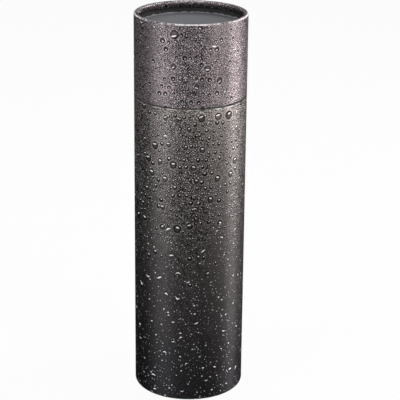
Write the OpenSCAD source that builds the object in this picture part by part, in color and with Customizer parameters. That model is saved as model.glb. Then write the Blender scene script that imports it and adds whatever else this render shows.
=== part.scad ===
// Rigid paper gift tube with a lift-off lid.
// Two board tubes of one outside diameter meet at a flush seam. An inner tube, the neck, is glued
// into the body and stands up inside the lid. Each end is closed by a pressed board dish that the
// rolled rim holds in place, so both ends are recessed.
// Millimetres, +Z up, origin at the centre of the foot.

/* [Tube] */
// Outside diameter over the printed wrap
tube_d = 92; // [80:1:110]
// Height of the closed tube
tube_h = 323; // [280:1:360]
// Height of the lid from its mouth to its top rim
lid_h = 68; // [60:1:90]

/* [Board] */
// Wall of the lid's board tube
lid_wall = 1.4; // [1.2:0.1:1.8]
// Wall of the neck's board tube
neck_wall = 1.4; // [1.2:0.1:1.8]
// Board of the pressed end dishes
dish_t = 1.2; // [1:0.1:1.4]
// Radial gap between the neck and the lid's lining
slide_gap = 0.2; // [0.15:0.05:0.35]

/* [Paper] */
// Printed wrap of the lid and of the body
wrap_t = 0.2; // [0.15:0.05:0.3]
// Lap where the two ends of a wrap are glued over each other
wrap_lap = 15; // [10:1:20]
// Plain papers: linings, neck cover and the facings of the ends
paper_t = 0.2; // [0.15:0.05:0.3]
// Climb of the spiral-wound linings in one turn
lining_pitch = 96; // [80:1:120]
// Width of the open joint between two turns of a lining
lining_joint = 0.4; // [0.3:0.1:0.8]

/* [Rolled rims] */
// Depth of the rim that is rolled in at each end
rim_depth = 5.5; // [5:0.1:6.5]
// Space inside the roll
rim_gap = 0.4; // [0.3:0.1:0.6]
// How far the crown of the roll is pressed flat
rim_press = 0.25; // [0.2:0.05:0.35]

/* [Ends] */
// Depth of the recess at each end, from the rim to the grey facing
end_recess = 10.2; // [8.5:0.1:11]
// Number of pleats pressed into the flange of a dish
dish_pleats = 72; // [48:1:90]
// Depth of a pleat
pleat_depth = 0.3; // [0.2:0.05:0.4]

/* [Neck] */
// Height of the neck above the shoulder where the lid sits
neck_rise = 40; // [25:1:45]
// Part of the neck's cover that is turned in over its top edge
neck_tuck = 8; // [5:1:12]
// Bevel on the outer edges that meet at the seam
seam_bevel = 0.4; // [0.3:0.1:0.6]

/* [Hidden] */
$fn = 128;

tube_r = tube_d / 2;
board_r = tube_r - wrap_t;
seam_z = tube_h - lid_h;

// Radii from the outside in, at the lid and then at the body
lid_bore_r = board_r - lid_wall;
lid_lined_r = lid_bore_r - paper_t;
neck_r = lid_lined_r - slide_gap;
body_wall = board_r - neck_r;
neck_board_r = neck_r - paper_t;
neck_bore_r = neck_board_r - neck_wall;
bore_r = neck_bore_r - paper_t;

// Heights of the dishes and of the neck
dish_h = end_recess - rim_depth + paper_t + dish_t;
floor_z = end_recess + paper_t + dish_t;
ceiling_z = tube_h - floor_z;
neck_top_z = seam_z + neck_rise;
collar_gap = 1;
collar_z = neck_top_z + collar_gap;
collar_bevel = 0.5;

// The dish is pressed with a round corner outside and a tighter one inside
dish_outer_corner = 1;
dish_inner_corner = 0.6;
face_edge_h = 1;
pleat_r = 0.6;

// The wraps meet end over end at the back
lap_angle = wrap_lap / tube_r * 180 / PI;
lap_start = 90 - lap_angle / 2;
lap_ramp_angle = 2;
lap_taper = 1;

lining_steps = 64;
lining_tip = 0.5;

board_colour = "#8f8a82";
face_colour = "#6e7074";
black_colour = "#26262a";
lid_print_colour = "#6c6668";
body_print_colour = "#413e3f";

// Half section of a filled rim, rounded over at its top and pressed flat at z_crown
module rim_block(r_out, r_in, z_low, bend_z, z_crown) {
    bend_r = (r_out - r_in) / 2;
    intersection() {
        union() {
            translate([r_in, z_low])
                square([2 * bend_r, bend_z - z_low]);
            translate([r_in + bend_r, bend_z])
                circle(bend_r);
        }
        translate([r_in, z_low])
            square([2 * bend_r, z_crown - z_low]);
    }
}

// Half section of one layer that runs up a wall, over the crown and down inside to z_end.
// r_out and r_in are its outer and inner faces, and bend_z is the height of the bend's centre.
module rolled_layer(r_out, r_in, thick, z_mouth, z_end, bend_z, z_crown) {
    over = 1;
    difference() {
        rim_block(r_out, r_in, z_mouth, bend_z, z_crown);
        rim_block(r_out - thick, r_in + thick, z_mouth - over, bend_z, z_crown - thick);
        translate([r_in - over, z_mouth - over])
            square([r_out - r_in - thick + over, z_end - z_mouth + over]);
    }
}

// Corner taken off the outer edge of a section at height z
module outer_bevel(r_out, z) {
    over = 0.5;
    translate([r_out, z])
        polygon([
            [-seam_bevel, 0], [over, seam_bevel + over], [over, -over], [-seam_bevel, -over]
        ]);
}

// Height of the centre of a rim's bend
function bend_height(wall, z_top) = z_top + rim_press - wrap_t - wall - rim_gap / 2;

// Half section of one layer of a tube with a rolled rim at its top and a bevelled mouth.
// out is how far the layer stands out from the board, 0 for the board itself.
module tube_layer(out, thick, wall, z_mouth, z_top) {
    difference() {
        rolled_layer(
            board_r + out, board_r - 2 * wall - rim_gap - out, thick,
            z_mouth, z_top - rim_depth, bend_height(wall, z_top), z_top - max(0, wrap_t - out)
        );
        outer_bevel(tube_r, z_mouth);
    }
}

module rolled_tube(wall, z_mouth, z_top) {
    rotate_extrude()
        tube_layer(0, wall, wall, z_mouth, z_top);
}

function polar(r, angle) = [r * cos(angle), r * sin(angle)];

// Printed paper round a tube and over its rim. At the back its end laps over its start, and the
// lap is pressed flat towards both edges.
module lapped_wrap(wall, z_mouth, z_top) {
    sunk_r = tube_r - wrap_t / 2;
    lap_r = tube_r + wrap_t;
    ramp_r = lap_r - wrap_t / 10;
    z_low = z_mouth + 2 * seam_bevel;
    z_high = bend_height(wall, z_top);
    rotate_extrude()
        tube_layer(wrap_t, wrap_t, wall, z_mouth, z_top);
    rotate([0, 0, lap_start])
        rotate_extrude(angle = lap_angle)
            polygon([
                [sunk_r, z_low], [lap_r, z_low + lap_taper], [lap_r, z_high - lap_taper],
                [sunk_r, z_high]
            ]);
    // The upper end climbs over the edge of the lower one
    translate([0, 0, z_low + lap_taper])
        linear_extrude(height = z_high - z_low - 2 * lap_taper)
            polygon([
                polar(sunk_r, lap_start - lap_ramp_angle),
                polar(ramp_r, lap_start),
                polar(sunk_r, lap_start + lap_ramp_angle)
            ]);
}

// Region out to r and up to h, with its lower outer corner rounded
module rounded_block(r, h, corner) {
    square([r - corner, h]);
    translate([0, corner])
        square([r, h - corner]);
    translate([r - corner, corner])
        circle(corner);
}

// Half section of a tray of even thickness
module tray_section(r, h, thick, outer_corner, inner_corner) {
    difference() {
        rounded_block(r, h, outer_corner);
        translate([0, thick])
            rounded_block(r - thick, h, inner_corner);
    }
}

// Pressed board dish with a pleated flange, open upwards, standing on z = 0
module end_dish(r_out) {
    flange_r = r_out - dish_t;
    difference() {
        rotate_extrude()
            tray_section(r_out, dish_h, dish_t, dish_outer_corner, dish_inner_corner);
        for (i = [0 : dish_pleats - 1])
            rotate([0, 0, i * 360 / dish_pleats])
                translate([flange_r - pleat_r + pleat_depth, 0, dish_t + face_edge_h])
                    cylinder(r = pleat_r, h = dish_h);
    }
}

// Plain facing paper that lies in a dish and turns up at its edge
module end_face(r_out) {
    rotate_extrude()
        tray_section(
            r_out - dish_t, face_edge_h, paper_t, dish_inner_corner, dish_inner_corner - paper_t
        );
}

// Places something made open upwards in the recess of the foot, or in that of the lid
module at_foot(height) {
    translate([0, 0, height])
        mirror([0, 0, 1])
            children();
}

module paper_disc(r, z) {
    translate([0, 0, z])
        cylinder(r = r, h = paper_t);
}

// Four corners of a strip's section at one angle: inner low, outer low, outer high, inner high
function strip_section(r_in, angle, low, high) = [
    for (corner = [[r_in, low], [r_in + paper_t, low], [r_in + paper_t, high], [r_in, high]])
        [corner[0] * cos(angle), corner[0] * sin(angle), corner[1]]
];

// Lining wound as one spiral strip of paper, trimmed square at both ends.
// The strip's upper edge climbs one pitch in a turn, and its lower edge follows one turn behind.
module spiral_lining(r_in, z_low, z_high) {
    tip_angle = 360 * lining_tip / lining_pitch;
    whole_angle = 360 * ((z_high - z_low - lining_joint) / lining_pitch + 1);
    count = ceil((whole_angle - 2 * tip_angle) * lining_steps / 360);
    step = (whole_angle - 2 * tip_angle) / count;
    sections = [
        for (i = [0 : count])
            let (
                angle = tip_angle + i * step,
                upper = z_low + lining_pitch * angle / 360,
                lower = upper - lining_pitch + lining_joint
            )
            strip_section(r_in, angle, max(z_low, lower), min(z_high, upper))
    ];
    sides = [
        for (i = [0 : count - 1], k = [0 : 3])
            let (
                a = 4 * i + k,
                b = 4 * i + (k + 1) % 4
            )
            each [[a, b + 4, b], [a, a + 4, b + 4]]
    ];
    last = 4 * count;
    ends = [
        [0, 1, 2], [0, 2, 3],
        [last, last + 2, last + 1], [last, last + 3, last + 2]
    ];
    polyhedron(
        points = [for (section = sections) each section],
        faces = concat(sides, ends)
    );
}

// Lid

module lid_tube() {
    color(board_colour)
        rolled_tube(lid_wall, seam_z, tube_h);
}

module lid_wrap() {
    color(lid_print_colour)
        lapped_wrap(lid_wall, seam_z, tube_h);
}

module lid_dish() {
    color(black_colour)
        translate([0, 0, ceiling_z])
            end_dish(lid_bore_r);
}

module lid_face() {
    color(face_colour)
        translate([0, 0, ceiling_z + dish_t])
            end_face(lid_bore_r);
}

// Ring that backs the dish and ends just above the neck
module lid_collar() {
    color(black_colour)
        rotate_extrude()
            polygon([
                [bore_r, collar_z + collar_bevel], [bore_r + collar_bevel, collar_z],
                [lid_bore_r, collar_z], [lid_bore_r, ceiling_z], [bore_r, ceiling_z]
            ]);
}

module lid_lining() {
    color(black_colour)
        spiral_lining(lid_lined_r, seam_z, collar_z);
}

module lid_ceiling() {
    color(black_colour)
        paper_disc(bore_r, ceiling_z - paper_t);
}

// Body

module body_tube() {
    color(board_colour)
        at_foot(seam_z)
            rolled_tube(body_wall, 0, seam_z);
}

module body_wrap() {
    color(body_print_colour)
        at_foot(seam_z)
            lapped_wrap(body_wall, 0, seam_z);
}

module base_dish() {
    color(black_colour)
        at_foot(floor_z)
            end_dish(neck_r);
}

module base_face() {
    color(face_colour)
        at_foot(floor_z - dish_t)
            end_face(neck_r);
}

// Half section of the neck's board, rounded over at its top
module neck_section() {
    round_r = neck_wall / 2;
    round_z = neck_top_z + rim_press - paper_t - round_r;
    intersection() {
        union() {
            translate([neck_bore_r, floor_z])
                square([neck_wall, round_z - floor_z]);
            translate([neck_bore_r + round_r, round_z])
                circle(round_r);
        }
        translate([neck_bore_r, floor_z])
            square([neck_wall, neck_top_z - paper_t - floor_z]);
    }
}

module neck_tube() {
    color(board_colour)
        rotate_extrude()
            neck_section();
}

// Paper over the outside of the neck, turned in over its top edge
module neck_cover() {
    bend_z = neck_top_z + rim_press - paper_t - neck_wall / 2;
    color(black_colour)
        rotate_extrude()
            rolled_layer(
                neck_r, bore_r, paper_t, floor_z, neck_top_z - neck_tuck, bend_z, neck_top_z
            );
}

module neck_lining() {
    color(black_colour)
        spiral_lining(bore_r, floor_z + paper_t, neck_top_z - neck_tuck);
}

module floor_paper() {
    color(black_colour)
        paper_disc(neck_bore_r, floor_z);
}

lid_tube();
lid_wrap();
lid_dish();
lid_face();
lid_collar();
lid_lining();
lid_ceiling();
body_tube();
body_wrap();
base_dish();
base_face();
neck_tube();
neck_cover();
neck_lining();
floor_paper();
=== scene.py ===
import math

import bmesh
import bpy
from mathutils import Matrix, Vector, noise


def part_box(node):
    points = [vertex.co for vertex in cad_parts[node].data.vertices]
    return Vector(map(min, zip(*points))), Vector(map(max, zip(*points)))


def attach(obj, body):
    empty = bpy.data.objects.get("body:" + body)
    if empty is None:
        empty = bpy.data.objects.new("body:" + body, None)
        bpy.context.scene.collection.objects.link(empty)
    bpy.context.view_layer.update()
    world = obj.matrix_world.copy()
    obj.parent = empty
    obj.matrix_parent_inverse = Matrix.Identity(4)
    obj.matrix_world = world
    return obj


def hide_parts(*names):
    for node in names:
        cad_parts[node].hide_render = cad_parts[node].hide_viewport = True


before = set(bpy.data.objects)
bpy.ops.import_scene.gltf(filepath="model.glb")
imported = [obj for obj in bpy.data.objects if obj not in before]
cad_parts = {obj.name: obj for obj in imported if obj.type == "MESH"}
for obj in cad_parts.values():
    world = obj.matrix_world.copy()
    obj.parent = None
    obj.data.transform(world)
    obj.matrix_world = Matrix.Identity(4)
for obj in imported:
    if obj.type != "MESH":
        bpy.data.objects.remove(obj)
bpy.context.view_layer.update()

# Camera
# It stands in front of the tube and a little above it, turned by the angles that put the rims,
# the seam and the outline where the photograph has them.
scene = bpy.context.scene
camera_place = Vector((0, -1.14684, 0.57562))
camera_pitch = math.radians(19.779)
camera_pan = math.radians(0.432)
camera_roll = math.radians(0.587)
camera_lens = 131.12

ahead = Vector((
    math.sin(camera_pan) * math.cos(camera_pitch),
    math.cos(camera_pan) * math.cos(camera_pitch),
    -math.sin(camera_pitch),
))
level = Vector((math.cos(camera_pan), -math.sin(camera_pan), 0))
upright = level.cross(ahead)
right = math.cos(camera_roll) * level + math.sin(camera_roll) * upright
above = right.cross(ahead)
lens = bpy.data.cameras.new("camera")
lens.lens = camera_lens
lens.sensor_width = 36
camera = bpy.data.objects.new("camera", lens)
camera.matrix_world = Matrix.Translation(camera_place) @ Matrix((right, above, -ahead)).transposed().to_4x4()
scene.collection.objects.link(camera)
scene.camera = camera
scene.view_settings.view_transform = "Standard"

# Studio
# A pale floor, a white surround and tall soft boxes at both sides that run past the floor, so
# that their long reflections keep one width from the tube's foot to its rim. Black cloth round
# the set, seen only in reflections, keeps the edges of the tube dark.
floor_half = 6.0
floor_drop = 0.0002
cloth_radius = 2.2
cloth_half_height = 3.0


def join(tree, value, socket):
    """Links a socket to an input, or sets the input where the value is a number or a colour."""
    if isinstance(value, bpy.types.NodeSocket):
        tree.links.new(value, socket)
    else:
        socket.default_value = value


def calc(tree, operation, *values, clamp=False):
    """One step of arithmetic in a node tree."""
    made = tree.nodes.new("ShaderNodeMath")
    made.operation = operation
    made.use_clamp = clamp
    for value, socket in zip(values, made.inputs):
        join(tree, value, socket)
    return made.outputs[0]


def seen_as_background(tree):
    """1 for rays from the camera, a reflection or a clear body, and 0 for the rest."""
    path = tree.nodes.new("ShaderNodeLightPath")
    seen = calc(tree, "MAXIMUM", path.outputs["Is Camera Ray"], path.outputs["Is Glossy Ray"])
    return calc(tree, "MAXIMUM", seen, path.outputs["Is Transmission Ray"])


def soft_box(name, azimuth, elevation, distance, width, low, high, power, tint):
    """A rectangular lamp that faces the middle of the tube, azimuth 0 being the camera's side.
    low and high are where its ends lie, measured up its own plane from the middle of the tube."""
    lamp = bpy.data.lights.new(name, "AREA")
    lamp.shape = "RECTANGLE"
    lamp.size = width
    lamp.size_y = high - low
    lamp.energy = power
    lamp.color = tint
    box = bpy.data.objects.new(name, lamp)
    turn = Matrix.Rotation(math.radians(azimuth), 4, "Z")
    tilt = Matrix.Rotation(math.radians(90 - elevation), 4, "X")
    aim = Matrix.Translation((0, 0, 0.16))
    box.matrix_world = aim @ turn @ tilt @ Matrix.Translation((0, (low + high) / 2, distance))
    box.visible_camera = False
    scene.collection.objects.link(box)
    return box


left_box = soft_box("left_box", -55, 0, 1.3, 0.95, -2.0, 2.0, 20.5, (0.97, 0.985, 1.0))
right_box = soft_box("right_box", 48, 0, 1.5, 0.8, -0.4, 2.0, 12.5, (1.0, 0.98, 0.96))
side_box = soft_box("side_box", 100, 0, 1.3, 0.42, -1.4, 2.0, 30, (1.0, 0.985, 0.975))
front_box = soft_box("front_box", 0, 0, 1.7, 1.0, -2.0, 2.0, 6, (1.0, 0.99, 0.98))
top_box = soft_box("top_box", 180, 62, 1.2, 0.9, -0.45, 0.45, 5.0, (1.0, 1.0, 1.0))

world = bpy.data.worlds.new("white_surround")
world.use_nodes = True
scene.world = world
tree = world.node_tree
tree.nodes.clear()
surround = tree.nodes.new("ShaderNodeBackground")
surround.inputs["Color"].default_value = (1, 1, 1, 1)
ambient = tree.nodes.new("ShaderNodeBackground")
ambient.inputs["Color"].default_value = (1, 1, 1, 1)
ambient.inputs["Strength"].default_value = 0.25
choice = tree.nodes.new("ShaderNodeMixShader")
tree.links.new(seen_as_background(tree), choice.inputs[0])
tree.links.new(ambient.outputs[0], choice.inputs[1])
tree.links.new(surround.outputs[0], choice.inputs[2])
tree.links.new(choice.outputs[0], tree.nodes.new("ShaderNodeOutputWorld").inputs["Surface"])


def mesh_object(name, shape):
    """Turns a bmesh into an object of the scene."""
    mesh = bpy.data.meshes.new(name)
    shape.to_mesh(mesh)
    shape.free()
    made = bpy.data.objects.new(name, mesh)
    scene.collection.objects.link(made)
    return made


shape = bmesh.new()
bmesh.ops.create_grid(shape, x_segments=1, y_segments=1, size=floor_half)
bmesh.ops.translate(shape, verts=shape.verts, vec=(0, 0, -floor_drop))
studio_floor = mesh_object("studio_floor", shape)
studio_floor.visible_glossy = False
studio_floor.visible_shadow = False
floor_white = bpy.data.materials.new("floor_white")
floor_white.use_nodes = True
tree = floor_white.node_tree
tree.nodes.clear()
paint = tree.nodes.new("ShaderNodeBsdfDiffuse")
paint.inputs["Color"].default_value = (0.8, 0.8, 0.8, 1)
glow = tree.nodes.new("ShaderNodeEmission")
glow.inputs["Color"].default_value = (1, 1, 1, 1)
background_share = 0.95
choice = tree.nodes.new("ShaderNodeMixShader")
tree.links.new(calc(tree, "MULTIPLY", seen_as_background(tree), background_share), choice.inputs[0])
tree.links.new(paint.outputs[0], choice.inputs[1])
tree.links.new(glow.outputs[0], choice.inputs[2])
tree.links.new(choice.outputs[0], tree.nodes.new("ShaderNodeOutputMaterial").inputs["Surface"])
studio_floor.data.materials.append(floor_white)

shape = bmesh.new()
bmesh.ops.create_cone(
    shape, segments=64, radius1=cloth_radius, radius2=cloth_radius, depth=2 * cloth_half_height,
    cap_ends=False,
)
black_cloth = mesh_object("black_cloth", shape)
black_cloth.visible_camera = False
black_cloth.visible_diffuse = False
black_cloth.visible_shadow = False
cloth_black = bpy.data.materials.new("cloth_black")
cloth_black.use_nodes = True
cloth_black.node_tree.nodes["Principled BSDF"].inputs["Base Color"].default_value = (0, 0, 0, 1)
cloth_black.node_tree.nodes["Principled BSDF"].inputs["Specular IOR Level"].default_value = 0
black_cloth.data.materials.append(cloth_black)

# Printed paper of the lid
# One sheet of printed art paper, rolled round the board tube until its end laps over its start
# at the back. It is turned in over the rolled rim, where it gathers in fine pleats.
paper = 0.0002
tube_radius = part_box("lid_wrap")[1][0]
tube_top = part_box("lid_wrap")[1][2]
seam_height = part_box("lid_tube")[0][2]
lid_wall = tube_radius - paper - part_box("lid_dish")[1][0]
body_wall = tube_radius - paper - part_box("base_dish")[1][0]
roll_gap = 0.0004
rim_depth = 0.0055
rim_press = 0.00025
seam_bevel = 0.0004
lap = 0.015
lap_centre = math.radians(90)
sheet_steps = 900
bend_steps = 14
wall_steps = 24
hem_steps = 6
pleat_depth = 0.00035
pleat_width = 0.0011
pleat_length = 0.012
pleat_start = 1.2
lap_climb = 0.0016
lap_taper = 0.001
lap_pressed = 0.15


def rolled_sheet(name, wall, mouth, rim, seed):
    """The sheet round one tube, from its mouth to the inner end of its rolled rim.
    rim may lie below the mouth, for the tube that is rolled in at its foot."""
    up = 1 if rim > mouth else -1
    crown = abs(rim - mouth)
    bend_radius = wall + roll_gap / 2 + paper
    bend_axis = tube_radius - bend_radius
    bend_start = crown + rim_press - bend_radius
    hem_length = bend_start - crown + rim_depth
    first_row = (seam_bevel + paper) / 2

    # Turn of the paper, height over the mouth and distance over the paper, for each row
    rows = []
    for i in range(wall_steps):
        height = first_row + (bend_start - first_row) * i / wall_steps
        rows.append((0.0, height, height))
    for i in range(bend_steps):
        turn = math.pi * i / bend_steps
        height = min(bend_start + bend_radius * math.sin(turn), crown)
        rows.append((turn, height, bend_start + bend_radius * turn))
    for i in range(hem_steps + 1):
        drop = hem_length * i / hem_steps
        rows.append((math.pi, bend_start - drop, bend_start + bend_radius * math.pi + drop))

    sheet = bmesh.new()
    bmesh.ops.create_grid(sheet, x_segments=sheet_steps, y_segments=len(rows) - 1, size=0.5)
    round_length = 2 * math.pi * tube_radius
    climb_start = round_length - lap_climb
    flat_places = []
    for vert in sheet.verts:
        turn, height, across = rows[round((vert.co.y + 0.5) * (len(rows) - 1))]
        along = (vert.co.x + 0.5) * (round_length + lap)
        flat_places.append((along, mouth + up * across))
        climb = min(max((along - climb_start) / lap_climb, 0), 1)
        climb *= min(max((bend_start - across) / lap_taper, lap_pressed), 1)
        climb *= min(max((across - lap_taper) / lap_taper, lap_pressed), 1)
        inside = min(max((across - bend_start) / bend_radius - pleat_start, 0), 1)
        fold = noise.noise(Vector((along / pleat_width, across / pleat_length, seed)))
        swell = pleat_depth * inside * max(fold + 0.1, 0)
        radius = bend_axis + (bend_radius + paper * climb + swell) * math.cos(turn)
        height = min(height + swell * math.sin(turn), crown) + paper * climb * math.sin(turn)
        angle = lap_centre + (along - lap / 2) / tube_radius
        vert.co = (radius * math.cos(angle), radius * math.sin(angle), mouth + up * height)

    flat_sheet = sheet.loops.layers.uv.new("sheet")
    for face in sheet.faces:
        face.smooth = True
        for corner in face.loops:
            corner[flat_sheet].uv = flat_places[corner.vert.index]
    if up < 0:
        bmesh.ops.reverse_faces(sheet, faces=sheet.faces)
    made = mesh_object(name, sheet)
    thickness = made.modifiers.new("thickness", "SOLIDIFY")
    thickness.thickness = paper
    thickness.offset = -1
    thickness.material_offset_rim = 1
    return made


def group_input(group, name, kind="NodeSocketFloat", value=None):
    """Adds a named input to a node group."""
    socket = group.interface.new_socket(name, in_out="INPUT", socket_type=kind)
    if value is not None:
        socket.default_value = value


def group_output(group, name, kind="NodeSocketFloat"):
    """Adds a named output to a node group."""
    group.interface.new_socket(name, in_out="OUTPUT", socket_type=kind)


def vector_calc(tree, operation, first, second=None, scale=None):
    """One step of vector arithmetic in a node tree."""
    made = tree.nodes.new("ShaderNodeVectorMath")
    made.operation = operation
    join(tree, first, made.inputs[0])
    if second is not None:
        join(tree, second, made.inputs[1])
    if scale is not None:
        join(tree, scale, made.inputs["Scale"])
    return made.outputs["Value"] if operation == "LENGTH" else made.outputs["Vector"]


def ease(tree, value, low, high):
    """0 below low, 1 above high and a smooth step between. High may be the smaller one."""
    made = tree.nodes.new("ShaderNodeMapRange")
    made.interpolation_type = "SMOOTHSTEP"
    join(tree, value, made.inputs["Value"])
    join(tree, low, made.inputs["From Min"])
    join(tree, high, made.inputs["From Max"])
    return made.outputs["Result"]


def between(tree, value, low, high):
    """Moves a value of 0 to 1 to the range low to high."""
    made = tree.nodes.new("ShaderNodeMapRange")
    join(tree, value, made.inputs["Value"])
    join(tree, low, made.inputs["To Min"])
    join(tree, high, made.inputs["To Max"])
    return made.outputs["Result"]


def blend_colour(tree, share, first, second, how="MIX"):
    """Lays the second colour over the first."""
    made = tree.nodes.new("ShaderNodeMix")
    made.data_type = "RGBA"
    made.blend_type = how
    join(tree, share, made.inputs["Factor"])
    join(tree, first, made.inputs[6])
    join(tree, second, made.inputs[7])
    return made.outputs[2]


def parts_of(tree, vector):
    """The three numbers of a vector."""
    made = tree.nodes.new("ShaderNodeSeparateXYZ")
    join(tree, vector, made.inputs[0])
    return made.outputs


def vector_of(tree, x, y, z=0.0):
    """A vector from three numbers."""
    made = tree.nodes.new("ShaderNodeCombineXYZ")
    for value, socket in zip((x, y, z), made.inputs):
        join(tree, value, socket)
    return made.outputs[0]


def cell_chances(tree, column, row, seed):
    """Three random numbers from 0 to 1 that belong to one cell of a grid."""
    made = tree.nodes.new("ShaderNodeTexWhiteNoise")
    made.noise_dimensions = "3D"
    tree.links.new(vector_of(tree, column, row, seed), made.inputs["Vector"])
    return parts_of(tree, made.outputs["Color"])


def make_drop_group():
    """Printed water drops of one size class, at most one to a cell of a staggered grid: the
    drop's mask, the shade inside it, the light ring round its foot and its bright glint."""
    group = bpy.data.node_groups.new("printed_drops", "ShaderNodeTree")
    group_input(group, "Sheet", "NodeSocketVector")
    for name, value in (
        ("Seed", 1.0), ("Cell", 0.008), ("Share", 0.5), ("Least", 0.12), ("Most", 0.24),
        ("Fill", 0.4), ("Dark", 0.1), ("Glint Height", 0.38), ("Glint Length", 0.4),
        ("Glint Width", 0.17), ("Lean", 0.5), ("Bow", 0.0),
    ):
        group_input(group, name, value=value)
    for name in ("Drop", "Shade", "Ring", "Glint"):
        group_output(group, name)
    given = group.nodes.new("NodeGroupInput").outputs
    result = group.nodes.new("NodeGroupOutput").inputs

    # The cell of this point, with every second row half a cell along
    along, across, _ = parts_of(group, given["Sheet"])
    seed = given["Seed"]
    across = calc(group, "ADD", calc(group, "DIVIDE", across, given["Cell"]), seed)
    row = calc(group, "FLOOR", across)
    along = calc(group, "ADD", calc(group, "DIVIDE", along, given["Cell"]),
                 calc(group, "MULTIPLY_ADD", row, 0.5, calc(group, "MULTIPLY", seed, 7.31)))
    column = calc(group, "FLOOR", along)
    side_chance, height_chance, size_chance = cell_chances(group, column, row, seed)
    lean_chance, oval_chance, shift_chance = cell_chances(
        group, column, row, calc(group, "ADD", seed, 40.0)
    )
    presence, bow_chance, light_chance = cell_chances(
        group, column, row, calc(group, "ADD", seed, 80.0)
    )

    # Place and size of the drop, so that it stays in its cell
    radius = between(group, calc(group, "POWER", size_chance, 1.4), given["Least"], given["Most"])
    room = calc(group, "SUBTRACT", 1.0, calc(group, "MULTIPLY", radius, 2.3))
    places = []
    for value, cell, chance in ((along, column, side_chance), (across, row, height_chance)):
        middle = calc(group, "MULTIPLY_ADD", calc(group, "SUBTRACT", chance, 0.5), room, 0.5)
        offset = calc(group, "SUBTRACT", calc(group, "SUBTRACT", value, cell), middle)
        places.append(calc(group, "DIVIDE", offset, radius))
    local_x = calc(group, "MULTIPLY", places[0], between(group, oval_chance, 0.92, 1.25))
    local_y = places[1]
    distance = vector_calc(group, "LENGTH", vector_of(group, local_x, local_y))
    present = calc(group, "LESS_THAN", presence, given["Share"])

    # A dark rim, darkest on the glint's side, round a paler middle
    glint_side = calc(group, "SIGN", given["Glint Height"])
    shadow = ease(group, calc(group, "MULTIPLY", local_y, glint_side), -0.35, 0.5)
    depth = calc(group, "MAXIMUM", ease(group, distance, 0.5, 0.92), shadow)
    group.links.new(
        calc(group, "MULTIPLY", ease(group, distance, 1.1, 0.88), present), result["Drop"]
    )
    fill = calc(group, "MULTIPLY", given["Fill"], between(group, light_chance, 0.8, 1.7))
    group.links.new(between(group, depth, fill, given["Dark"]), result["Shade"])
    ring = calc(group, "MULTIPLY", ease(group, distance, 0.98, 1.12), ease(group, distance, 1.6, 1.2))
    group.links.new(calc(group, "MULTIPLY", ring, present), result["Ring"])

    # The glint, a short stroke that leans and bows a little differently on each drop
    lean = calc(group, "MULTIPLY", calc(group, "SUBTRACT", lean_chance, 0.42), given["Lean"])
    glint_x = calc(group, "MULTIPLY_ADD", calc(group, "SUBTRACT", shift_chance, 0.5), 0.3, local_x)
    glint_y = calc(group, "SUBTRACT", local_y, given["Glint Height"])
    cosine = calc(group, "COSINE", lean)
    sine = calc(group, "SINE", lean)
    stroke_x = calc(group, "ADD", calc(group, "MULTIPLY", glint_x, cosine),
                    calc(group, "MULTIPLY", glint_y, sine))
    stroke_y = calc(group, "SUBTRACT", calc(group, "MULTIPLY", glint_y, cosine),
                    calc(group, "MULTIPLY", glint_x, sine))
    bow = calc(group, "MULTIPLY", calc(group, "SUBTRACT", bow_chance, 0.5), given["Bow"])
    stroke_y = calc(group, "MULTIPLY_ADD", calc(group, "MULTIPLY", stroke_x, stroke_x), bow, stroke_y)
    length = calc(group, "MULTIPLY", given["Glint Length"], between(group, shift_chance, 0.6, 1.1))
    stroke = vector_calc(group, "LENGTH", vector_of(
        group, calc(group, "DIVIDE", stroke_x, length),
        calc(group, "DIVIDE", stroke_y, given["Glint Width"]),
    ))
    glint = calc(group, "MULTIPLY", ease(group, stroke, 1.12, 0.8), present)
    group.links.new(
        calc(group, "MULTIPLY", glint, between(group, light_chance, 0.65, 1.0)), result["Glint"]
    )
    return group


drop_group = make_drop_group()


def make_mist_group():
    """The fine mist of the print, as a factor on the ground: pin-head droplets with a dark rim
    and a light middle."""
    group = bpy.data.node_groups.new("printed_mist", "ShaderNodeTree")
    group_input(group, "Sheet", "NodeSocketVector")
    group_input(group, "Size", value=0.0015)
    group_input(group, "Strength", value=0.5)
    group_output(group, "Factor")
    given = group.nodes.new("NodeGroupInput").outputs
    result = group.nodes.new("NodeGroupOutput").inputs
    beads = group.nodes.new("ShaderNodeTexVoronoi")
    beads.voronoi_dimensions = "2D"
    group.links.new(given["Sheet"], beads.inputs["Vector"])
    group.links.new(calc(group, "DIVIDE", 1.0, given["Size"]), beads.inputs["Scale"])
    distance = beads.outputs["Distance"]
    chance, other_chance, _ = parts_of(group, beads.outputs["Color"])
    middle = calc(group, "MULTIPLY", ease(group, distance, 0.34, 0.12), between(group, chance, 0.1, 2.2))
    rim = calc(group, "MULTIPLY", ease(group, distance, 0.2, 0.36), ease(group, distance, 0.66, 0.5))
    swing = calc(group, "SUBTRACT", middle,
                 calc(group, "MULTIPLY", rim, between(group, other_chance, 0.0, 1.1)))
    factor = calc(group, "MULTIPLY_ADD", swing, given["Strength"], 1.0)
    group.links.new(calc(group, "MAXIMUM", factor, 0.08), result["Factor"])
    return group


mist_group = make_mist_group()


def use_group(tree, group, **values):
    """Places a node group and sets its inputs by their sockets' names."""
    made = tree.nodes.new("ShaderNodeGroup")
    made.node_tree = group
    for name, value in values.items():
        join(tree, value, made.inputs[name])
    return made.outputs


def ramp(tree, value, stops, low=0.0, high=1.0):
    """Colours along a value between low and high, from a list of places and colours."""
    made = tree.nodes.new("ShaderNodeValToRGB")
    points = made.color_ramp.elements
    while len(points) < len(stops):
        points.new(1.0)
    for point, (place, colour) in zip(points, stops):
        point.position = (place - low) / (high - low)
        point.color = (*colour, 1)
    join(tree, calc(tree, "DIVIDE", calc(tree, "SUBTRACT", value, low), high - low), made.inputs[0])
    return made.outputs[0]


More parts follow.
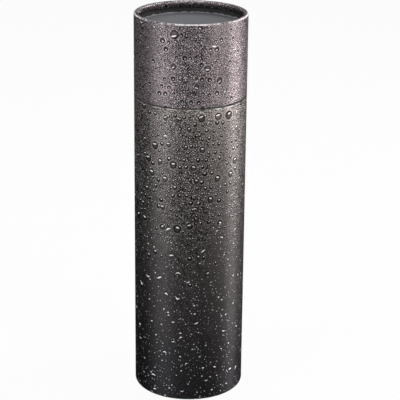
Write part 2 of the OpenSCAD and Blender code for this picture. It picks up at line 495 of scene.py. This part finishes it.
def fine_noise(tree, place, scale, detail=2.0):
    """Plain noise at one scale, centred on about 0.5."""
    made = tree.nodes.new("ShaderNodeTexNoise")
    made.inputs["Scale"].default_value = scale
    made.inputs["Detail"].default_value = detail
    join(tree, place, made.inputs["Vector"])
    return made.outputs["Fac"]


def patchy_stretches(tree):
    """Noise that is 1 on some stretches of an edge and 0 between them, so that a painted line along the edge
    comes and goes.
    """
    place = tree.nodes.new("ShaderNodeTexCoord").outputs["Object"]
    return ease(tree, fine_noise(tree, place, 140.0, 4.0), 0.42, 0.6)


glint_white = (0.92, 0.91, 0.92, 1)
# Sizes of the two mists in metres, and how strong each is in the bands of painted sheen and between them
mists = ((0.0015, 0.35, 1.5), (0.0025, 0.0, 1.5))
# Spacing round the sheet of the upright bands of painted sheen
sheen_band_width = 0.06
edge_dimming = (0.45, 0.45, 0.45, 1)
# Sizes in metres and in shares of a cell, smallest first
drop_kinds = (
    {"Cell": 0.0032, "Least": 0.06, "Most": 0.17, "Fill": 0.7, "Dark": 0.5,
     "Glint Height": 0.05, "Glint Length": 0.8, "Glint Width": 0.65},
    {"Cell": 0.0060, "Least": 0.09, "Most": 0.19, "Fill": 0.9, "Dark": 0.5,
     "Glint Height": 0.1, "Glint Length": 1.0, "Glint Width": 0.5, "Lean": 1.2, "Bow": 1.2},
    {"Cell": 0.0036, "Least": 0.22, "Most": 0.36, "Fill": 0.16, "Dark": 0.06,
     "Glint Height": 0.2, "Glint Length": 0.42, "Glint Width": 0.3},
    {"Cell": 0.0060, "Least": 0.19, "Most": 0.36, "Fill": 0.2, "Dark": 0.07,
     "Glint Height": 0.3, "Glint Length": 0.46, "Glint Width": 0.25, "Lean": 0.9},
    {"Cell": 0.0125, "Least": 0.10, "Most": 0.20, "Fill": 0.8, "Dark": 0.4,
     "Glint Height": 0.1, "Glint Length": 1.0, "Glint Width": 0.27, "Lean": 1.2, "Bow": 1.8},
    {"Cell": 0.0135, "Least": 0.17, "Most": 0.28, "Fill": 0.4, "Dark": 0.07,
     "Glint Height": 0.34, "Glint Length": 0.6, "Glint Width": 0.2, "Lean": 0.8},
)


def drop_print(name, ground_stops, mouth, rim, low_mist, high_mist, shares, share_heights,
               glint_side, edge_width, edge_shade_and_highlight, edge_between_stretches, fold_rub_and_highlight):
    """Material of a printed sheet. The mist's strength, and the shares of the cells that hold a
    drop of each of the drop_kinds, are given at the lower and upper of the two share_heights.
    edge_shade_and_highlight colours a band edge_width wide at the mouth: a painted shadow line on the lid, a
    painted highlight line on the body; edge_between_stretches is how much of it lies between the noise
    stretches where it is full. fold_rub_and_highlight is how pale the fold of the rolled rim is made, as
    rubbed paper and as a painted highlight."""
    up = 1 if rim > mouth else -1
    low, high = min(mouth, rim), max(mouth, rim)
    material = bpy.data.materials.new(name)
    material.use_nodes = True
    tree = material.node_tree
    skin = tree.nodes["Principled BSDF"]
    sheet = tree.nodes.new("ShaderNodeUVMap")
    sheet.uv_map = "sheet"
    place = sheet.outputs[0]
    along, height, _ = parts_of(tree, place)
    ground = ramp(tree, height, ground_stops, low, high)

    # Slow clouds in the ground, then mist in two sizes that is softer in upright bands: painted sheen,
    # placed so that two of the bands lie where the side lamps' reflections fall in the front view
    clouds = fine_noise(tree, place, 38.0)
    from_front = calc(tree, "SUBTRACT", along, math.pi * tube_radius + lap / 2)
    sheen_bands = calc(tree, "COSINE", calc(tree, "MULTIPLY", from_front, 2 * math.pi / sheen_band_width))
    density = calc(tree, "ADD", fine_noise(tree, place, 16.0), calc(tree, "MULTIPLY", sheen_bands, 0.35))
    factor = between(tree, clouds, 0.78, 1.15)
    share_rise = ease(tree, height, *share_heights)
    for (size, soft, strong), low_strength, high_strength in zip(mists, low_mist, high_mist):
        strength = calc(tree, "MULTIPLY", between(tree, share_rise, low_strength, high_strength),
                        between(tree, density, soft, strong))
        fine = use_group(tree, mist_group, Sheet=place, Size=size, Strength=strength)["Factor"]
        factor = calc(tree, "MULTIPLY", factor, fine)
    tone = vector_calc(tree, "SCALE", ground, scale=factor)

    glints = 0.0
    for i, (kind, (foot_share, top_share)) in enumerate(zip(drop_kinds, shares)):
        kind = dict(kind, Seed=3.0 + 5 * i, Share=between(tree, share_rise, foot_share, top_share))
        kind["Glint Height"] *= glint_side
        drop = use_group(tree, drop_group, Sheet=place, **kind)
        inner = vector_calc(tree, "SCALE", ground, scale=drop["Shade"])
        tone = blend_colour(tree, drop["Drop"], tone, inner)
        ring = calc(tree, "MULTIPLY", drop["Ring"], calc(tree, "SUBTRACT", 0.75, kind["Fill"]), clamp=True)
        tone = blend_colour(tree, ring, tone, vector_calc(tree, "SCALE", ground, scale=2.0))
        tone = blend_colour(tree, drop["Glint"], tone, glint_white)
        bare = calc(tree, "SUBTRACT", 1.0, drop["Drop"])
        glints = calc(tree, "MAXIMUM", calc(tree, "MULTIPLY", glints, bare), drop["Glint"])

    # The rolled rim: its fold is painted pale, partly as rubbed paper and partly as a painted highlight, and
    # its pleated inside carries painted shade, light by the fold, dark towards its end and in streaks along
    # the pleats
    beyond = calc(tree, "MULTIPLY", calc(tree, "SUBTRACT", height, rim), up)
    pleat_shade = fine_noise(tree, vector_of(
        tree, calc(tree, "DIVIDE", along, pleat_width), calc(tree, "DIVIDE", height, pleat_length)
    ), 1.0)
    hem = ease(tree, beyond, 0.0022, 0.0034)
    # Painted shade inside the roll: brighter near the fold, darker towards the hem's end, with darker
    # streaks standing in for the shade between the pleats
    hem_painted_shade = calc(tree, "MULTIPLY", between(tree, pleat_shade, 0.1, 1.9),
                    between(tree, ease(tree, beyond, 0.0020, 0.0065), 2.4, 0.3))
    hem_shade_factor = between(tree, hem, 1.0, hem_painted_shade)
    tone = vector_calc(tree, "SCALE", tone, scale=hem_shade_factor)
    # Pale band on the fold's shoulder: partly rubbed paper, partly a painted highlight
    rub_and_highlight = calc(tree, "MULTIPLY", ease(tree, beyond, -0.0012, -0.0007), ease(tree, beyond, 0.0009, 0.0001))
    fold_patches = calc(tree, "ADD", fine_noise(tree, place, 300.0), calc(tree, "MULTIPLY", sheen_bands, 0.12))
    rub_and_highlight = calc(tree, "MULTIPLY", rub_and_highlight, calc(tree, "MULTIPLY", ease(tree, fold_patches, 0.35, 0.65), fold_rub_and_highlight))
    tone = blend_colour(tree, rub_and_highlight, tone, (0.8, 0.77, 0.78, 1))

    # The trimmed edge at the mouth: a band of the edge colour, which on the lid is a painted shadow line
    # above the seam and on the body a painted highlight line below it, fuller on noise stretches
    from_mouth = calc(tree, "MULTIPLY", calc(tree, "SUBTRACT", height, mouth), up)
    edge = ease(tree, from_mouth, edge_width + 0.0002, edge_width - 0.0002)
    edge_patches = patchy_stretches(tree)
    tone = blend_colour(tree, calc(tree, "MULTIPLY", edge, between(tree, edge_patches, edge_between_stretches, 1.0)),
                        tone, edge_shade_and_highlight)
    tree.links.new(tone, skin.inputs["Base Color"])

    bare = calc(tree, "MAXIMUM", glints, rub_and_highlight)
    tree.links.new(between(tree, bare, 0.85, 0.0), skin.inputs["Metallic"])
    skin.inputs["Specular Tint"].default_value = edge_dimming
    rough = fine_noise(tree, place, 900.0)
    tree.links.new(between(tree, rough, 0.4, 0.5), skin.inputs["Roughness"])
    bump = tree.nodes.new("ShaderNodeBump")
    bump.inputs["Strength"].default_value = 0.15
    bump.inputs["Distance"].default_value = 0.0001
    tree.links.new(rough, bump.inputs["Height"])
    tree.links.new(bump.outputs[0], skin.inputs["Normal"])
    return material


def paper_core(name, dark, light):
    """Cut edge of the printed paper."""
    material = bpy.data.materials.new(name)
    material.use_nodes = True
    tree = material.node_tree
    place = tree.nodes.new("ShaderNodeTexCoord").outputs["Object"]
    skin = tree.nodes["Principled BSDF"]
    fibres = fine_noise(tree, place, 2500.0)
    tree.links.new(blend_colour(tree, fibres, dark, light), skin.inputs["Base Color"])
    skin.inputs["Roughness"].default_value = 0.9
    return material


# The lid paper's cut edges are black while the same paper on the body has a pale core: painted shade at the
# seam
shade_black_core = paper_core("shade_black_core", (0.012, 0.012, 0.012, 1), (0.03, 0.03, 0.03, 1))
lid_print = drop_print(
    "lid_print",
    [(0.255, (0.256, 0.218, 0.229)), (0.29, (0.255, 0.216, 0.228)), (0.323, (0.249, 0.211, 0.223))],
    seam_height, tube_top, (1.7, 0.7), (1.7, 0.7),
    ((0.20, 0.20), (0.06, 0.06), (0.50, 0.45), (0.60, 0.44), (0.14, 0.12), (0.22, 0.16)),
    # Near-black edge band: a painted shadow line above the seam
    (seam_height, tube_top), -1, 0.0010, (0.02, 0.018, 0.018, 1), 0.6, 1.0,
)
lid_paper = rolled_sheet("lid_paper", lid_wall, seam_height, tube_top, 3.0)
lid_paper.data.materials.append(lid_print)
lid_paper.data.materials.append(shade_black_core)
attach(lid_paper, "lid")
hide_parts("lid_wrap")

# Printed paper of the body
# The same paper in a longer sheet. Its print starts in grey at the seam and darkens to black at
# the foot, where it is turned in under the rolled lower rim.
white_core = paper_core("white_core", (0.34, 0.33, 0.32, 1), (0.55, 0.54, 0.52, 1))
body_print = drop_print(
    "body_print",
    [
        (0.0, (0.0245, 0.0235, 0.0265)), (0.05, (0.039, 0.0365, 0.0385)),
        (0.12, (0.069, 0.0627, 0.0625)), (0.187, (0.125, 0.1125, 0.110)),
        (0.235, (0.198, 0.178, 0.172)), (0.255, (0.232, 0.208, 0.199)),
    ],
    seam_height, 0.0, (0.5, 0.2), (1.8, 1.4),
    ((0.55, 0.20), (0.22, 0.03), (0.03, 0.70), (0.02, 0.80), (0.40, 0.02), (0.03, 0.62)),
    # Pale edge band: a painted highlight line below the seam
    (0.10, 0.205), 1, 0.0012, (0.56, 0.53, 0.52, 1), 0.0, 0.3,
)
body_paper = rolled_sheet("body_paper", body_wall, seam_height, 0.0, 11.0)
body_paper.data.materials.append(body_print)
body_paper.data.materials.append(white_core)
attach(body_paper, "tube_body")
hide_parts("body_wrap")


# Board of the tubes
# Grey recycled board wound in plies, which shows only where it is cut: at the seam's two edges and on the
# bare inside of the rolls. Its bevels at the seam are painted black as the shade in the groove between lid
# and body.
cut_face = 0.00005


def plain_board(name, dark, light, speck_share, groove_shaded=False):
    """Bare board: short fibres in two greys with a few dark specks. Where groove_shaded is set, all of it
    but its flat cut faces at the seam is painted black, the body's part a little lighter on noise stretches:
    at the seam's bevels this is painted shade in the groove between lid and body."""
    material = bpy.data.materials.new(name)
    material.use_nodes = True
    tree = material.node_tree
    skin = tree.nodes["Principled BSDF"]
    place = tree.nodes.new("ShaderNodeTexCoord").outputs["Object"]
    fibres = tree.nodes.new("ShaderNodeTexNoise")
    fibres.inputs["Scale"].default_value = 1400.0
    fibres.inputs["Detail"].default_value = 4.0
    tree.links.new(place, fibres.inputs["Vector"])
    specks = tree.nodes.new("ShaderNodeTexVoronoi")
    specks.inputs["Scale"].default_value = 700.0
    tree.links.new(place, specks.inputs["Vector"])
    tone = blend_colour(tree, fibres.outputs["Fac"], dark, light)
    speck = calc(tree, "MULTIPLY", ease(tree, specks.outputs["Distance"], 0.3, 0.15), speck_share)
    tone = blend_colour(tree, speck, tone, tuple(0.5 * c for c in dark[:3]) + (1,))
    if groove_shaded:
        # Painted shade in the seam's groove: the board away from its flat cut faces is black, lighter on
        # stretches below the seam
        from_seam = calc(tree, "SUBTRACT", parts_of(tree, place)[2], seam_height)
        lid_side = calc(tree, "GREATER_THAN", from_seam, 0.0)
        groove_shade = calc(tree, "MAXIMUM", lid_side, between(tree, patchy_stretches(tree), 1.0, 0.6))
        bevel = calc(tree, "GREATER_THAN", calc(tree, "ABSOLUTE", from_seam), cut_face)
        tone = blend_colour(tree, calc(tree, "MULTIPLY", groove_shade, bevel), tone, (0.015, 0.015, 0.015, 1))
    tree.links.new(tone, skin.inputs["Base Color"])
    skin.inputs["Roughness"].default_value = 0.92
    skin.inputs["Specular IOR Level"].default_value = 0.3
    bump = tree.nodes.new("ShaderNodeBump")
    bump.inputs["Strength"].default_value = 0.35
    bump.inputs["Distance"].default_value = 0.0001
    tree.links.new(fibres.outputs["Fac"], bump.inputs["Height"])
    tree.links.new(bump.outputs[0], skin.inputs["Normal"])
    return material


def dress(material, *names):
    """Gives CAD nodes a finish in place of their plain one."""
    for name in names:
        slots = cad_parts[name].data.materials
        slots.clear()
        slots.append(material)


greyboard = plain_board("greyboard", (0.30, 0.28, 0.255, 1), (0.52, 0.49, 0.45, 1), 0.5, True)
dress(greyboard, "lid_tube", "body_tube", "neck_tube")

# Pressed dishes and the lid's collar
# Black dyed board, pressed to a dish with a fluted flange. It closes each end under the rolled
# rim, and a ring of the same board backs the one in the lid.
black_board = plain_board("black_board", (0.03, 0.03, 0.031, 1), (0.065, 0.065, 0.067, 1), 0.2)
dress(black_board, "lid_dish", "base_dish", "lid_collar")


# Grey facings of both ends
# A disc of smooth grey paper lies in each dish. Its edge is turned up against the flange, where
# it gathers in small uneven pleats.
facing_pleats = 132
facing_rings = 3
facing_edge = 0.0007


def pleated_facing(name, node, up):
    """The disc with its gathered edge, in the space of its CAD node."""
    low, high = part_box(node)
    radius = high[0]
    ground = low[2] if up > 0 else high[2]
    disc = bmesh.new()
    bmesh.ops.create_circle(disc, cap_ends=True, segments=4 * facing_pleats, radius=radius - 0.0007)
    rail = [e for e in disc.edges if e.is_boundary]
    bmesh.ops.translate(disc, verts=disc.verts, vec=(0, 0, paper))
    for turn in (30, 60, 90):
        grown = bmesh.ops.extrude_edge_only(disc, edges=rail)["geom"]
        fresh = [g for g in grown if isinstance(g, bmesh.types.BMVert)]
        rail = [
            g for g in grown
            if isinstance(g, bmesh.types.BMEdge) and set(g.verts) <= set(fresh)
        ]
        bend = math.radians(turn)
        for vert in fresh:
            out = Vector((vert.co.x, vert.co.y, 0)).normalized()
            vert.co = out * (radius - 0.0007 + 0.0004 * math.sin(bend))
            vert.co.z = paper + 0.0004 * (1 - math.cos(bend))
    grown = bmesh.ops.extrude_edge_only(disc, edges=rail)["geom"]
    for vert in (g for g in grown if isinstance(g, bmesh.types.BMVert)):
        out = Vector((vert.co.x, vert.co.y, 0)).normalized()
        angle = math.atan2(out.y, out.x)
        pleat = noise.noise(Vector((out.x * 12, out.y * 12, 4.0)))
        sheen_bands = math.sin(angle * facing_pleats)
        vert.co.z += facing_edge * (0.9 + 1.5 * pleat)
        vert.co -= out * 0.00012 * (sheen_bands + 1)
    for face in disc.faces:
        face.smooth = True
    bmesh.ops.scale(disc, verts=disc.verts, vec=(1, 1, up))
    bmesh.ops.translate(disc, verts=disc.verts, vec=(0, 0, ground))
    bmesh.ops.recalc_face_normals(disc, faces=disc.faces)
    if max(disc.faces, key=lambda f: f.calc_area()).normal.z * up < 0:
        bmesh.ops.reverse_faces(disc, faces=disc.faces)
    made = mesh_object(name, disc)
    thickness = made.modifiers.new("thickness", "SOLIDIFY")
    thickness.thickness = paper * 0.8
    thickness.offset = -1
    return made


def plain_paper(name, dark, light, rough, fold_radius=None):
    """Plain coloured paper: faint fibres and a soft cloudiness in one tone. From fold_radius outwards its
    turned-up edge is paler in uneven streaks, as crushed paper and as painted highlight where its pleats
    catch the light."""
    material = bpy.data.materials.new(name)
    material.use_nodes = True
    tree = material.node_tree
    skin = tree.nodes["Principled BSDF"]
    place = tree.nodes.new("ShaderNodeTexCoord").outputs["Object"]
    fibres = tree.nodes.new("ShaderNodeTexNoise")
    fibres.inputs["Scale"].default_value = 1800.0
    fibres.inputs["Detail"].default_value = 3.0
    tree.links.new(place, fibres.inputs["Vector"])
    clouds = tree.nodes.new("ShaderNodeTexNoise")
    clouds.inputs["Scale"].default_value = 60.0
    tree.links.new(place, clouds.inputs["Vector"])
    share = calc(tree, "ADD", calc(tree, "MULTIPLY", fibres.outputs["Fac"], 0.5),
                 calc(tree, "MULTIPLY", clouds.outputs["Fac"], 0.5))
    tone = blend_colour(tree, share, dark, light)
    if fold_radius:
        x, y, _ = parts_of(tree, place)
        radius = vector_calc(tree, "LENGTH", vector_of(tree, x, y))
        streaks = fine_noise(tree, place, 420.0)
        # Paler streaks on the turned-up edge: partly crushed paper, partly painted highlight where the
        # pleats catch the light
        crushed_and_highlit = calc(tree, "MULTIPLY", ease(tree, radius, fold_radius - 0.0002, fold_radius + 0.0002),
                       between(tree, streaks, -0.4, 1.6), clamp=True)
        tone = blend_colour(tree, crushed_and_highlit, tone, tuple(2.4 * c for c in light[:3]) + (1,))
    tree.links.new(tone, skin.inputs["Base Color"])
    skin.inputs["Roughness"].default_value = rough
    skin.inputs["Specular IOR Level"].default_value = 0.3
    bump = tree.nodes.new("ShaderNodeBump")
    bump.inputs["Strength"].default_value = 0.2
    bump.inputs["Distance"].default_value = 0.00005
    tree.links.new(fibres.outputs["Fac"], bump.inputs["Height"])
    tree.links.new(bump.outputs[0], skin.inputs["Normal"])
    return material


grey_paper = plain_paper("grey_paper", (0.114, 0.118, 0.127, 1), (0.14, 0.143, 0.153, 1), 0.7, 0.0425)
lid_facing = pleated_facing("lid_facing", "lid_face", 1)
base_facing = pleated_facing("base_facing", "base_face", -1)
for facing, node, body in ((lid_facing, "lid_face", "lid"), (base_facing, "base_face", "tube_body")):
    facing.data.materials.append(grey_paper)
    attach(facing, body)
    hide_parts(node)

# Black linings
# Plain black paper covers the neck and is turned in over its edge. Inside, the same paper is
# wound in a spiral with an open joint, and round discs line the floor and the ceiling.
black_paper = plain_paper("black_paper", (0.016, 0.016, 0.017, 1), (0.03, 0.03, 0.032, 1), 0.6)
dress(black_paper, "neck_cover", "neck_lining", "lid_lining", "lid_ceiling", "floor_paper")
